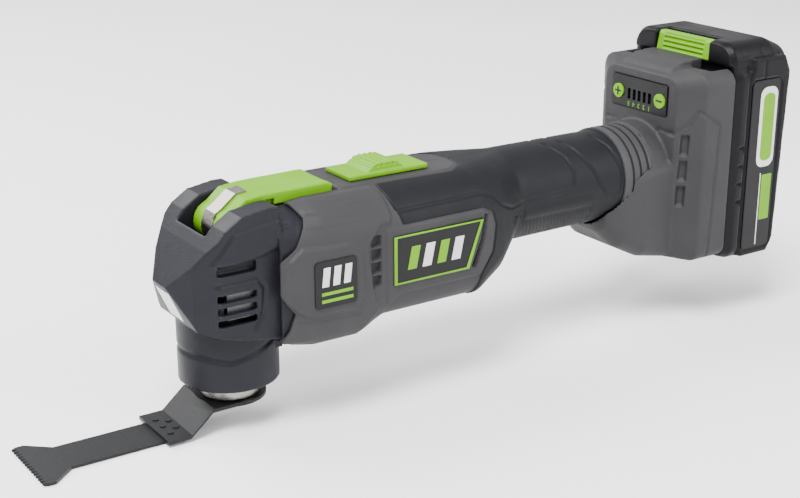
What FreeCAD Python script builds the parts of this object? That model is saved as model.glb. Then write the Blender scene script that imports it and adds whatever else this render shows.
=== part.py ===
import FreeCAD, Part
import math
import os

# Cordless oscillating multi-tool. Millimetres. +Z runs up the output spindle and +X runs back
# along the body to the battery. The origin lies on the spindle axis, in the plane where an
# accessory is clamped against the flange ring.

V = FreeCAD.Vector
X, Y, Z = V(1, 0, 0), V(0, 1, 0), V(0, 0, 1)
GAP = 0.3            # clearance between faces of pieces that move apart
WALL = 2.6           # moulded wall thickness

# Accessory end
RING_R, RING_H = 12.1, 4.1
HUB_R, HUB_T = 14.5, 1.5
STRIP_Z, STRIP_T = -10.1, 1.1
STRIP_HALF, TOOTH_HALF = 9.6, 17.46
HUB_HALF, HUB_END = 13.9, -34.2
FLARE_X, TOOTH_ROOT_X, TOOTH_TIP_X = -72.1, -84.2, -86.2
TEETH = 15
PIN_COUNT, PIN_CIRCLE, PIN_R, PIN_H = 8, 10.6, 0.9, 1.2

# Spindle and clamp
SPINDLE_R, BORE_R, SPINDLE_TOP = 8.0, 6.0, 54.0
BOLT_R, BOLT_HEAD_R, BOLT_HEAD_Z, BOLT_TOP = 3.6, 5.5, 57.5, 60.2
BOLT_FLANGE_R, BOLT_FLANGE_T = 9.5, 3.0
DISC_COUNT, DISC_Z, DISC_PITCH, DISC_RISE, DISC_T = 12, 40.0, 1.12, 0.5, 0.6
BEARING_R, BEARING_W = 11.0, 7.0
BEARING_LOW_Z, BEARING_HIGH_Z = 10.0, 30.0
FORK_LOW, FORK_HIGH, FORK_HUB_R = 44.0, 53.4, 11.8
FORK_GAP_HALF, FORK_ARM_T, FORK_END = 6.6, 3.0, 23.5

# Head
HEAD_R, HEAD_HALF, HEAD_BOTTOM = 20.5, 23.5, 7.0
HEAD_BACK, SPIGOT_END = 11.9, 17.0
DRUM_BACK, DRUM_STEP_Z = 16.5, 21.7
CAVITY_TOP, CHANNEL_FLOOR, CHANNEL_HALF, CHANNEL_FRONT = 55.2, 57.2, 12.1, -14.0
VENT_Z = (59.0, 48.4, 43.4, 38.5)
VENT_FRONT, VENT_BACK, VENT_H = -15.0, 1.5, 3.0

# Release lever
LEVER_X, LEVER_Z, LEVER_HALF = 4.0, 69.5, 11.5
CAM_R, CAM_OFFSET = 8.0, 3.5
STRAP_HALF, STRAP_T = 4.3, 1.5
PIN_LEVER_R = 2.0

# Motor, on an axis along X
MOTOR_Z = 49.0
ECCENTRICITY = 0.7
SHAFT_R, SHAFT_FRONT, SHAFT_BACK = 2.5, 14.0, 84.0
STATOR_R, STATOR_IN_R, STATOR_X0, STATOR_X1 = 18.8, 11.2, 36.0, 64.0

# Motor housing and handle
FRONT_X, HALF, TOP_Z = 12.3, 29.5, 80.0
FRONT_LOW, MID_LOW = 22.0, 27.5
HANDLE_Z, HANDLE_R, GRIP_T = 59.8, 20.0, 1.4
HANDLE_X0, HANDLE_X1 = 134.0, 206.0
DECK_TOP, DECK_HALF, DECK_X0, DECK_X1 = 80.6, 12.0, 46.5, 103.0
NECK_X0, NECK_X1, NECK_R = 190.0, 206.0, 21.5

WINDOW_X0, WINDOW_X1, WINDOW_Z, WINDOW_PITCH, WINDOW_H, WINDOW_COUNT = 49.8, 54.0, 42.5, 5.6, 4.2, 4

# Switch slider
SLIDER_X0, SLIDER_X1, SLIDER_HALF = 52.0, 90.0, 9.5
SLIDER_LOW, SLIDER_TOP, THUMB_TOP = 80.8, 82.8, 86.3

# Foot
FOOT_FRONT, FOOT_WIDE_X, FOOT_BACK = 215.4, 224.0, 241.5
FOOT_FACE_HALF, FOOT_HALF = 23.5, 34.5
FOOT_LOW, FOOT_TOP = 19.5, 108.0
PANEL_HALF, PANEL_Z0, PANEL_Z1 = 18.0, 86.8, 101.0
BUTTON_Y, BUTTON_Z, BUTTON_R = 13.7, 93.4, 3.3

# Battery pack
PACK_FRONT, PACK_SPLIT, PACK_BACK = 241.8, 250.6, 276.8
PACK_HALF, PACK_LOW, PACK_HIGH, BLOCK_TOP = 35.0, 17.0, 108.6, 119.2
BLOCK_FRONT, BLOCK_HALF, BACK_TAPER = 240.0, 33.0, 2.6
RAIL_HALF, STEM_HALF, RAIL_LOW, RAIL_TOP = 27.5, 23.5, 41.0, 104.0
RECEPTACLE_X0 = 230.8
RAIL_X0, RAIL_X1 = RECEPTACLE_X0 + 3.2, RECEPTACLE_X0 + 7.5
CELL_R, CELL_X, CELL_HALF, CELL_PITCH, CELL_COUNT = 9.0, 258.0, 32.2, 18.3, 5
FIRST_CELL_Z = 28.4
LATCH_HALF, LATCH_Z0, LATCH_Z1 = 17.0, 109.6, 118.6
SLOT_YS = (-15.0, -5.0, 5.0, 15.0)
LABEL_X0, LABEL_X1 = 253.0, 269.5


def block(x0, x1, y0, y1, z0, z1):
    return Part.makeBox(x1 - x0, y1 - y0, z1 - z0, V(x0, y0, z0))


def sym(x0, x1, half, z0, z1):
    return block(x0, x1, -half, half, z0, z1)


def rod(r, length, base, axis=Z):
    return Part.makeCylinder(r, length, base, axis)


def tube(r_out, r_in, length, base, axis=Z):
    return rod(r_out, length, base, axis).cut(rod(r_in, length, base, axis))


def union(shapes):
    shape = shapes[0]
    for other in shapes[1:]:
        shape = shape.fuse(other)
    return shape.removeSplitter()


def prism_y(points, half):
    """A side-view outline in X and Z, extruded across the tool."""
    wire = Part.makePolygon([V(x, -half, z) for x, z in points + points[:1]])
    return Part.Face(wire).extrude(V(0, 2 * half, 0))


def prism_z(points, z0, z1):
    """A plan outline in X and Y, extruded upwards."""
    wire = Part.makePolygon([V(x, y, z0) for x, y in points + points[:1]])
    return Part.Face(wire).extrude(V(0, 0, z1 - z0))


def section(x, half, z0, z1, r_low, r_high):
    """A rounded rectangle across the tool at x, with its own bottom and top corner radii."""
    edges = []
    corners = (((half, z0), (-1, 1), r_low, 270), ((half, z1), (-1, -1), r_high, 0),
               ((-half, z1), (1, -1), r_high, 90), ((-half, z0), (1, 1), r_low, 180))
    ends = []
    for (y, z), (sy, sz), r, start in corners:
        centre = V(x, y + sy * r, z + sz * r)
        points = []
        for angle in (start, start + 45, start + 90):
            a = math.radians(angle)
            points.append(centre + V(0, r * math.cos(a), r * math.sin(a)))
        ends.append(points)
    for index, points in enumerate(ends):
        edges.append(Part.Arc(*points).toShape())
        edges.append(Part.makeLine(points[2], ends[(index + 1) % 4][0]))
    return Part.Wire(edges)


def skin(sections, inset=0.0):
    wires = []
    for x, half, z0, z1, r_low, r_high in sections:
        wires.append(section(x, half - inset, z0 + inset, z1 - inset,
                             max(r_low - inset, 0.8), max(r_high - inset, 0.8)))
    return Part.makeLoft(wires, True, True)


def halves(shape):
    box = shape.BoundBox
    left = shape.common(block(box.XMin - 1, box.XMax + 1, box.YMin - 1, 0, box.ZMin - 1, box.ZMax + 1))
    right = shape.common(block(box.XMin - 1, box.XMax + 1, 0, box.YMax + 1, box.ZMin - 1, box.ZMax + 1))
    return left, right


def clamp_spring():
    """A stack of conical disc springs under the head of the clamp bolt."""
    discs = []
    for i in range(DISC_COUNT):
        z = DISC_Z + i * DISC_PITCH
        low, high = (z, z + DISC_RISE) if i % 2 == 0 else (z + DISC_RISE, z)
        points = [V(BOLT_R + GAP, 0, low), V(BORE_R - GAP, 0, high),
                  V(BORE_R - GAP, 0, high + DISC_T), V(BOLT_R + GAP, 0, low + DISC_T)]
        discs.append(Part.Face(Part.makePolygon(points + points[:1])).revolve(V(), Z, 360))
    return Part.makeCompound(discs)


def coil(radius, wire_r, z0, height, turns):
    helix = Part.makeHelix(height / turns, height, radius)
    profile = Part.Wire(Part.makeCircle(wire_r, V(radius, 0, 0), Y))
    spring = Part.Wire(helix).makePipeShell([profile], True, True)
    spring.translate(V(0, 0, z0))
    return spring


# ---- accessory -------------------------------------------------------------------------------

def flange_ring():
    ring = tube(RING_R, 6.5, RING_H, V())
    ring = ring.makeChamfer(0.5, [e for e in ring.Edges if e.BoundBox.XMax > RING_R - 0.01
                                  and len(e.Vertexes) == 1])
    return union([ring] + [rod(PIN_R, PIN_H + 0.5, p + V(0, 0, -PIN_H)) for p in pin_places()])


def pin_places():
    for i in range(PIN_COUNT):
        a = 2 * math.pi * (i + 0.5) / PIN_COUNT
        yield V(PIN_CIRCLE * math.cos(a), PIN_CIRCLE * math.sin(a), 0)


def blade_hub():
    """The cranked plate that clamps under the ring and carries the strip."""
    crank = prism_y([(0, 0), (-14, 0), (-24, STRIP_Z + HUB_T), (HUB_END, STRIP_Z + HUB_T),
                     (HUB_END, STRIP_Z), (-24.6, STRIP_Z), (-14.6, -HUB_T), (0, -HUB_T)], HUB_HALF)
    hub = union([rod(HUB_R, HUB_T, V(0, 0, -HUB_T)), crank])
    hub = hub.cut(rod(4.4, 4, V(0, 0, -2)))
    for p in pin_places():
        hub = hub.cut(rod(PIN_R + 0.15, 4, p + V(0, 0, -2)))
    welds = [rod(1.3, 0.35, V(HUB_END + 4, y, STRIP_Z + HUB_T)) for y in (-7, 0, 7)]
    welds += [rod(1.3, 0.35, V(HUB_END + 8, y, STRIP_Z + HUB_T)) for y in (-3.5, 3.5)]
    return union([hub] + welds)


def saw_blade():
    points = [(-23.5, -STRIP_HALF), (FLARE_X, -STRIP_HALF), (TOOTH_ROOT_X + 3, -TOOTH_HALF)]
    pitch = 2 * TOOTH_HALF / TEETH
    for i in range(TEETH):
        y = -TOOTH_HALF + i * pitch
        points.append((TOOTH_ROOT_X, y))
        points.append((TOOTH_TIP_X, y + pitch / 2))
    points += [(TOOTH_ROOT_X, TOOTH_HALF), (TOOTH_ROOT_X + 3, TOOTH_HALF)]
    points += [(FLARE_X, STRIP_HALF), (-23.5, STRIP_HALF)]
    return prism_z(points, STRIP_Z - STRIP_T, STRIP_Z)


# ---- spindle ---------------------------------------------------------------------------------

def output_spindle():
    body = union([rod(SPINDLE_R, SPINDLE_TOP - RING_H, V(0, 0, RING_H)), rod(10, 0.9, V(0, 0, RING_H))])
    return body.cut(rod(BORE_R, 60, V(0, 0, 8))).cut(rod(BOLT_R + 0.3, 60, V()))


def rocker_fork():
    arm = block(4, FORK_END, FORK_GAP_HALF, FORK_GAP_HALF + FORK_ARM_T, FORK_LOW, FORK_HIGH)
    other = block(4, FORK_END, -FORK_GAP_HALF - FORK_ARM_T, -FORK_GAP_HALF, FORK_LOW, FORK_HIGH)
    hub = rod(FORK_HUB_R, FORK_HIGH - FORK_LOW, V(0, 0, FORK_LOW))
    fork = union([hub, arm, other])
    return fork.cut(rod(SPINDLE_R, 60, V()))


def clamp_bolt():
    return union([rod(BOLT_R, BOLT_TOP + HUB_T + 1, V(0, 0, -HUB_T - 1)),
                  rod(BOLT_HEAD_R, BOLT_TOP - BOLT_HEAD_Z, V(0, 0, BOLT_HEAD_Z)),
                  Part.makeCone(BOLT_FLANGE_R - 2, BOLT_FLANGE_R, BOLT_FLANGE_T,
                                V(0, 0, -HUB_T - 0.1 - BOLT_FLANGE_T))])


def release_lever():
    nose_x = LEVER_X - CAM_OFFSET
    nose = rod(CAM_R, 2 * LEVER_HALF, V(nose_x, -LEVER_HALF, LEVER_Z), Y)
    paddle = prism_y([(nose_x, 74), (nose_x - 3, LEVER_Z + 7.2), (4, 82), (12, 82.9), (41, 83.3),
                      (43, 82), (42.4, 78.6), (14, 77.8), (8, 74)], LEVER_HALF)
    lever = union([nose, paddle])
    groove = tube(CAM_R + 1, CAM_R - STRAP_T, 2 * STRAP_HALF + 0.2, V(nose_x, -STRAP_HALF - 0.1, LEVER_Z), Y)
    lever = lever.cut(groove.common(block(-20, LEVER_X, -9, 9, 50, 75)))
    return lever.cut(rod(PIN_LEVER_R + 0.08, 40, V(LEVER_X, -20, LEVER_Z), Y))


def lever_strap():
    nose_x = LEVER_X - CAM_OFFSET
    strap = tube(CAM_R, CAM_R - STRAP_T, 2 * STRAP_HALF, V(nose_x, -STRAP_HALF, LEVER_Z), Y)
    return strap.common(block(-20, LEVER_X - 0.1, -9, 9, 50, 74.9))


# ---- head ------------------------------------------------------------------------------------

def head_body():
    side = prism_y([(-18, 33.5), (-21, 34.5), (-28.6, 51), (-17.5, 67), (-11, 75), (-4, 79.5),
                    (7, 81.2), (HEAD_BACK, 81.2), (HEAD_BACK, 73.2), (SPIGOT_END, 73.2),
                    (SPIGOT_END, 31), (HEAD_BACK, 31), (HEAD_BACK, 27), (-5, 30)], HEAD_HALF)
    plan = prism_z([(SPIGOT_END, -HEAD_HALF), (-14, -HEAD_HALF), (-22, -16), (-28.6, -6),
                    (-28.6, 6), (-22, 16), (-14, HEAD_HALF), (SPIGOT_END, HEAD_HALF)], 0, 90)
    drum = rod(HEAD_R, 45 - HEAD_BOTTOM, V(0, 0, HEAD_BOTTOM))
    drum = drum.cut(block(DRUM_BACK, 30, -30, 30, 0, 60)).cut(block(HEAD_BACK, 30, -30, 30, DRUM_STEP_Z, 60))
    return union([side.common(plan), drum])


def lens_outline():
    return [(-27.4, 48.4), (-21.6, 35.8), (-19.4, 36.8), (-25.2, 49.4)]


def head_cover():
    head = head_body()
    cavity = rod(HEAD_R - WALL, 40, V(0, 0, HEAD_BOTTOM + WALL))
    head = head.cut(cavity.cut(block(DRUM_BACK - 2, 30, -30, 30, 0, DRUM_STEP_Z - 2)))
    head = head.cut(rod(16, 10, V(0, 0, 0)))
    head = head.cut(sym(-14, 30, HEAD_HALF - WALL, 33.6, CAVITY_TOP))
    head = head.cut(sym(CHANNEL_FRONT, 30, CHANNEL_HALF, CHANNEL_FLOOR, 90))
    head = head.cut(rod(7, 10, V(0, 0, 52)))
    head = head.cut(rod(PIN_LEVER_R, 34, V(LEVER_X, -17, LEVER_Z), Y))
    head = head.cut(prism_y(lens_outline(), 6))
    head = head.cut(sym(-22, -14 + 0.5, 5, 41, 47))
    for z in VENT_Z[1:]:
        head = head.cut(block(VENT_FRONT, VENT_BACK, -30, 30, z - VENT_H / 2, z + VENT_H / 2))
    z = VENT_Z[0]
    for side in (-1, 1):
        y0, y1 = sorted((side * 20.5, side * 30))
        head = head.cut(block(VENT_FRONT, VENT_BACK, y0, y1, z - VENT_H / 2, z + VENT_H))
    return head


def gear_case():
    sleeve = tube(14.2, BEARING_R, 29.0, V(0, 0, 10))
    deck = tube(17.4, 8.6, 3.0, V(0, 0, 38.4))
    neck = tube(14.2, 8.6, 1.4, V(0, 0, 37.2))
    walls = [block(-10, 30, y, y + 2.6, 38.4, 54.6) for y in (-20.4, 17.8)]
    floor = sym(0, 30, 20.4, 38.4, 41.2).cut(rod(17.4, 10, V(0, 0, 36)))
    plate = sym(25, 31, 20.4, 30.4, 54.6)
    plate = plate.fuse(rod(11, 6, V(25, 0, MOTOR_Z), X))
    plate = plate.cut(rod(8, 6, V(25, 0, MOTOR_Z), X))
    case = union([sleeve, neck, deck, floor, plate] + walls)
    case = case.cut(rod(8, 6, V(25, 0, MOTOR_Z), X))
    return case.cut(rod(BEARING_R, 7.1, V(0, 0, BEARING_HIGH_Z)))


def bearing(r_out, r_in, width, base, axis):
    return tube(r_out, r_in, width, base, axis)


def led_board():
    return sym(-19.0, -13.6, 4.7, 42, 46)


def damper_mounts():
    pads = []
    for side in (-1, 1):
        for z in (33.5, 48.5):
            y0, y1 = sorted((side * 20.4, side * 26.2))
            pads.append(block(26, 30, y0, y1, z - 3, z + 3))
    return Part.makeCompound(pads)


# ---- motor -----------------------------------------------------------------------------------

def along_motor(x):
    return V(x, 0, MOTOR_Z)


def eccentric_place(x):
    return V(x, 0, MOTOR_Z + ECCENTRICITY)


def rotor_core():
    return tube(STATOR_IN_R - 0.6, SHAFT_R, STATOR_X1 - STATOR_X0 + 2, along_motor(STATOR_X0 - 1), X)


def stator_core():
    core = tube(STATOR_R, STATOR_IN_R, STATOR_X1 - STATOR_X0, along_motor(STATOR_X0), X)
    for i in range(6):
        slot = block(STATOR_X0 - 1, STATOR_X1 + 1, -2.2, 2.2, 12.6, 16.8)
        slot.rotate(V(), X, 60 * i)
        slot.translate(V(0, 0, MOTOR_Z))
        core = core.cut(slot)
    return core


def stator_windings():
    coils = []
    for i in range(6):
        slot = block(STATOR_X0, STATOR_X1, -2.0, 2.0, 12.8, 16.6)
        slot.rotate(V(), X, 60 * i)
        slot.translate(V(0, 0, MOTOR_Z))
        coils.append(slot)
    ends = [tube(17.2, 12.2, 3, along_motor(x), X) for x in (STATOR_X0 - 3, STATOR_X1)]
    return union(ends + coils)


def cooling_fan():
    blades = []
    for i in range(11):
        blade = block(70.2, 76, -0.6, 0.6, 5, 15)
        blade.rotate(V(), X, 360 * i / 11)
        blade.translate(V(0, 0, MOTOR_Z))
        blades.append(blade)
    disc = rod(16, 1.4, along_motor(69), X)
    fan = union([disc, rod(6, 7, along_motor(69), X)] + blades)
    return fan.cut(rod(SHAFT_R, 20, along_motor(60), X))


# ---- housing ---------------------------------------------------------------------------------

def housing_sections():
    core = HANDLE_R - GRIP_T
    return [(FRONT_X, 27.5, 24.0, 79.0, 8, 17), (18, HALF, FRONT_LOW, TOP_Z, 8, 18),
            (44, HALF, FRONT_LOW, TOP_Z, 8, 18), (57, HALF, MID_LOW, TOP_Z, 8, 18),
            (104, 29.0, MID_LOW, 79.4, 8, 18), (119, 25.5, 33.5, 79.0, 10, 18),
            (HANDLE_X0, core, HANDLE_Z - core, HANDLE_Z + core, core - 0.2, core - 0.2),
            (HANDLE_X1, core, HANDLE_Z - core, HANDLE_Z + core, core - 0.2, core - 0.2)]


def screw_places():
    return [(88, 36), (88, 71), (124, 48), (124, 72), (172, HANDLE_Z)]


def housing():
    outer = skin(housing_sections())
    inner_sections = [(x, h, a, min(b, 77.2) if x < 50 else b, c, d)
                      for x, h, a, b, c, d in housing_sections()]
    inner_sections[0] = (FRONT_X - 1,) + inner_sections[0][1:]
    inner_sections[-1] = (HANDLE_X1 + 1,) + inner_sections[-1][1:]
    inner = skin(inner_sections, WALL)
    deck = sym(DECK_X0, DECK_X1, DECK_HALF, 74, DECK_TOP)
    shell = outer.fuse(deck).cut(inner)
    rib = inner.common(sym(79, 84, 40, 0, 100)).cut(rod(7, 20, along_motor(70), X))
    rib = rib.cut(block(78, 85, -3.4, 3.4, 70, 90))
    shell = union([shell, rib])
    shell = shell.cut(sym(FRONT_X - 2, DECK_X0 - 1.5, 12.4, 76.6, 95))
    shell = shell.cut(sym(57, 78, 3.4, 70, 90))
    shell = shell.cut(head_body()).cut(rod(14.6, 30, V(0, 0, 20)))
    for i in range(WINDOW_COUNT):
        z = WINDOW_Z + i * WINDOW_PITCH
        shell = shell.cut(sym(WINDOW_X0, WINDOW_X1, 40, z, z + WINDOW_H))
    return shell


def housing_pair():
    left, right = halves(housing())
    for x, z in screw_places():
        right = right.cut(rod(3.2, 40, V(x, 12, z), Y))
    return left, right


def housing_screws():
    screws = []
    for x, z in screw_places():
        y = 21 if x < 120 else 12.5
        screws.append(union([rod(1.5, y + 4, V(x, -4, z), Y), rod(3, 2.2, V(x, y, z), Y)]))
    return Part.makeCompound(screws)


def grip_pair():
    core = HANDLE_R - GRIP_T
    inner = skin([(HANDLE_X0 - 1, core, HANDLE_Z - core, HANDLE_Z + core, core - 0.2, core - 0.2),
                  (NECK_X0 + 1, core, HANDLE_Z - core, HANDLE_Z + core, core - 0.2, core - 0.2)])
    r = HANDLE_R
    outer = skin([(HANDLE_X0, r, HANDLE_Z - r, HANDLE_Z + r, r - 0.2, r - 0.2),
                  (NECK_X0, r, HANDLE_Z - r, HANDLE_Z + r, r - 0.2, r - 0.2)])
    return halves(outer.cut(inner).cut(rod(3.2, 40, V(172, 12, HANDLE_Z), Y)))


def neck_ring():
    core = HANDLE_R - GRIP_T
    ring = tube(NECK_R, core - 0.4, NECK_X1 - NECK_X0, V(NECK_X0, 0, HANDLE_Z), X)
    for x in (194, 198.4, 202.8):
        ring = ring.cut(tube(NECK_R + 1, NECK_R - 1, 1.4, V(x, 0, HANDLE_Z), X))
    return ring.cut(skin([(NECK_X0 - 1, core, HANDLE_Z - core, HANDLE_Z + core, core - 0.2, core - 0.2),
                          (NECK_X1 + 1, core, HANDLE_Z - core, HANDLE_Z + core, core - 0.2, core - 0.2)]))


def badge_plate():
    plate = prism_y([(59.5, 62), (104, 62), (97, 41.3), (59.5, 41.3)], 32)
    return plate.common(block(50, 110, -HALF - 0.9, -HALF, 30, 70))


def side_label():
    return block(23.5, 42, -HALF - 0.6, -HALF, 39.5, 59)


# ---- switch ----------------------------------------------------------------------------------

def switch_slider():
    plate = sym(SLIDER_X0, SLIDER_X1, SLIDER_HALF, SLIDER_LOW, SLIDER_TOP)
    thumb = prism_y([(60, SLIDER_TOP - 1), (64, THUMB_TOP - 0.8), (66.5, THUMB_TOP), (74, THUMB_TOP),
                     (76.5, THUMB_TOP - 0.8), (80, SLIDER_TOP - 1)], SLIDER_HALF - 1)
    return union([plate, thumb])


def switch_link():
    return union([sym(66, 72, 2.9, 75.0, SLIDER_LOW), sym(66, 91.5, 2.9, 73.6, 75.6)])


# ---- foot ------------------------------------------------------------------------------------

def foot_sections():
    return [(FOOT_FRONT, FOOT_FACE_HALF, 20.5, 105.0, 6, 7),
            (FOOT_WIDE_X, FOOT_HALF, FOOT_LOW, FOOT_TOP, 6, 7),
            (FOOT_BACK, FOOT_HALF, FOOT_LOW, FOOT_TOP, 6, 7)]


def belly_sections():
    return [(178, 10, 45, 60, 5, 5), (183, 17, 36, 62, 9, 6), (191, 21, 28, 64, 9, 6),
            (202, 23.5, 22.5, 66, 8, 6), (FOOT_FRONT + 0.5, 24.5, 20.5, 68, 6, 6)]


def foot_hollow():
    x0 = FOOT_FRONT + 3.0
    return skin([(x0, 21, 22.5, 104.5, 4, 4), (FOOT_WIDE_X + 2, 31.6, 22.5, 104.5, 4, 4),
                 (FOOT_BACK + 1, 31.6, 22.5, 104.5, 4, 4)])


def foot_pair():
    neck = tube(NECK_R + 0.5, NECK_R - 3, 20, V(NECK_X1, 0, HANDLE_Z), X)
    neck = neck.common(block(NECK_X1, FOOT_FRONT + 1, -40, 40, 0, 100))
    outer = skin(foot_sections()).fuse(skin(belly_sections())).fuse(neck)
    hollow = foot_hollow()
    foot = outer.cut(hollow)
    foot = foot.cut(skin(belly_sections()[1:-1] + [(220, 24.5, 20.5, 68, 6, 6)], 3.0))
    core = rod(HANDLE_R + 0.02, 60, V(150, 0, HANDLE_Z), X)
    foot = foot.cut(core).cut(rod(NECK_R + 0.02, NECK_X1 - 150, V(150, 0, HANDLE_Z), X))
    foot = foot.cut(rod(NECK_R - 3, 80, V(150, 0, HANDLE_Z), X))
    foot = foot.cut(sym(210, 219, PANEL_HALF, PANEL_Z0, PANEL_Z1))
    foot = foot.cut(sym(RECEPTACLE_X0, 260, RAIL_HALF + 0.6, 95, 120))
    return halves(foot)


def battery_receptacle():
    x0 = RECEPTACLE_X0
    body = sym(x0, FOOT_BACK, 31.5, 22.6, 104.4)
    body = body.cut(sym(x0 + 2.8, x0 + 7.8, RAIL_HALF + 0.5, 24, 120))
    body = body.cut(sym(x0 + 6.4, x0 + 20, STEM_HALF + 0.5, 24, 120))
    # The corners follow the inside of the foot, so that the two sit flush.
    return body.common(foot_hollow())


def speed_panel():
    panel = sym(FOOT_FRONT - 0.4, FOOT_FRONT + 1.2, PANEL_HALF, PANEL_Z0, PANEL_Z1)
    for side in (-1, 1):
        panel = panel.cut(rod(BUTTON_R + 0.3, 8, V(212, side * BUTTON_Y, BUTTON_Z), X))
    for i in range(-2, 3):
        panel = panel.cut(block(212, 220, i * 3.4 - 1.0, i * 3.4 + 1.0, 90.5, 95.5))
    return panel


def speed_button(side):
    place = V(FOOT_FRONT - 1.1, side * BUTTON_Y, BUTTON_Z)
    cap = rod(BUTTON_R, 3.9, place, X)
    return cap


def speed_board():
    board = block(219.1, 220.4, -19, 19, 86, 102)
    windows = [block(216.8, 219.1, i * 3.4 - 0.9, i * 3.4 + 0.9, 91, 95) for i in range(-2, 3)]
    return union([board] + windows)


def terminal_block():
    return sym(RAIL_X0 + 0.1, RAIL_X1 - 0.2, 27.5, 24.3, 40.2)


def terminal_blades():
    x0, x1 = RAIL_X0 + 0.8, RAIL_X1 - 0.7
    return Part.makeCompound([block(x0, x1, y - 0.4, y + 0.4, 40.2, 60) for y in SLOT_YS])


# ---- battery ---------------------------------------------------------------------------------

def pack_outer():
    body = skin([(PACK_FRONT, 33.2, 18.2, PACK_HIGH - 1.5, 6, 6),
                 (PACK_FRONT + 4, PACK_HALF, PACK_LOW, PACK_HIGH, 6, 6),
                 (270, PACK_HALF, PACK_LOW, PACK_HIGH, 6, 6),
                 (PACK_BACK + 3, 32.5, PACK_LOW + 2, PACK_HIGH - 2, 6, 6)])
    top = skin([(BLOCK_FRONT, 31, 98, BLOCK_TOP - 1, 3, 9),
                (BLOCK_FRONT + 3, BLOCK_HALF, 98, BLOCK_TOP, 3, 9),
                (266, BLOCK_HALF, 98, BLOCK_TOP, 3, 9), (PACK_BACK + 2, 31, 98, BLOCK_TOP - 5, 3, 9)])
    top = top.cut(block(230, PACK_FRONT, -40, 40, 90, FOOT_TOP + 0.9))
    outer = body.fuse(top)
    back = block(PACK_BACK, PACK_BACK + 30, -60, 60, -40, 180)
    back.rotate(V(PACK_BACK, 0, 108), Y, BACK_TAPER)
    return outer.cut(back)


def pack_inner():
    low = sym(PACK_FRONT + WALL, 271.5, PACK_HALF - 2.2, PACK_LOW + 2.2, 113)
    return low.cut(sym(200, 250.3, LATCH_HALF + 2.5, 106.5, 130))


def pack_shell():
    shell = pack_outer().cut(pack_inner())
    shell = shell.cut(sym(200, 249, LATCH_HALF + GAP, LATCH_Z0 - GAP, 130))
    for side in (-1, 1):
        y0, y1 = sorted((side * (PACK_HALF - 0.8), side * 60))
        shell = shell.cut(block(LABEL_X0 - 1, LABEL_X1 + 1, y0, y1, 20, 102))
    return union([shell, rail()])


def rail():
    stem = sym(RAIL_X1 - 0.5, PACK_FRONT + 0.5, STEM_HALF, RAIL_LOW, RAIL_TOP)
    head = sym(RAIL_X0, RAIL_X1, RAIL_HALF, RAIL_LOW, RAIL_TOP)
    shape = union([stem, head])
    for y in SLOT_YS:
        shape = shape.cut(block(RAIL_X0 - 1, RAIL_X1 + 1.4, y - 1.1, y + 1.1, 40, 78))
    return shape


def pack_front():
    return pack_shell().common(block(200, PACK_SPLIT, -60, 60, 0, 130))


def pack_rear():
    shell = pack_shell().common(block(PACK_SPLIT, 300, -60, 60, 0, 130))
    for y, z in pack_screw_places():
        shell = shell.cut(rod(2.9, 20, V(268, y, z), X))
    return shell


def pack_screw_places():
    return [(y, z) for y in (-26, 26) for z in (24, 106)]


def battery_screws():
    screws = [union([rod(1.4, 5.0, V(266.5, y, z), X), rod(2.7, 2, V(271, y, z), X)])
              for y, z in pack_screw_places()]
    return Part.makeCompound(screws)


def cell_places():
    return [FIRST_CELL_Z + i * CELL_PITCH for i in range(CELL_COUNT)]


def battery_cells():
    return Part.makeCompound([rod(CELL_R, 2 * CELL_HALF, V(CELL_X, -CELL_HALF, z), Y) for z in cell_places()])


def cell_holder():
    frames = []
    for y in (-21, 17):
        frame = block(CELL_X - 10.2, CELL_X + 9.0, y, y + 4, 19.4, 112.6)
        for z in cell_places():
            frame = frame.cut(rod(CELL_R + 0.05, 20, V(CELL_X, y - 5, z), Y))
        frame = frame.cut(block(240, 251, -40, 40, 106, 120))
        frames += frame.Solids
    return Part.makeCompound(frames)


def cell_straps():
    straps = []
    for side, starts in ((-1, (0, 2)), (1, (1, 3))):
        for i in starts:
            z = FIRST_CELL_Z + i * CELL_PITCH
            y0, y1 = sorted((side * CELL_HALF, side * (CELL_HALF + 0.3)))
            straps.append(block(CELL_X - 3, CELL_X + 3, y0, y1, z - 4, z + CELL_PITCH + 4))
    return Part.makeCompound(straps)


def battery_labels():
    places = [sorted((side * (PACK_HALF - 0.8), side * (PACK_HALF - 0.3))) for side in (-1, 1)]
    return Part.makeCompound([block(LABEL_X0, LABEL_X1, y0, y1, 21, 101) for y0, y1 in places])


def battery_latch():
    latch = prism_y([(BLOCK_FRONT + 0.2, LATCH_Z0), (BLOCK_FRONT + 1.6, LATCH_Z1 - 1.2),
                     (BLOCK_FRONT + 2.8, LATCH_Z1),
                     (BLOCK_FRONT + 5.8, LATCH_Z1), (BLOCK_FRONT + 5.8, LATCH_Z0)], LATCH_HALF)
    for y in (-9, 9):
        latch = latch.cut(rod(2.4, 5, V(BLOCK_FRONT + 2.0, y, 113), X))
    return latch


def latch_springs():
    springs = []
    for y in (-9, 9):
        spring = coil(1.5, 0.35, 0, 3.2, 3)
        spring.rotate(V(), Y, 90)
        spring.translate(V(BLOCK_FRONT + 5.4, y, 113))
        springs += spring.Solids
    return Part.makeCompound(springs)


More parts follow.
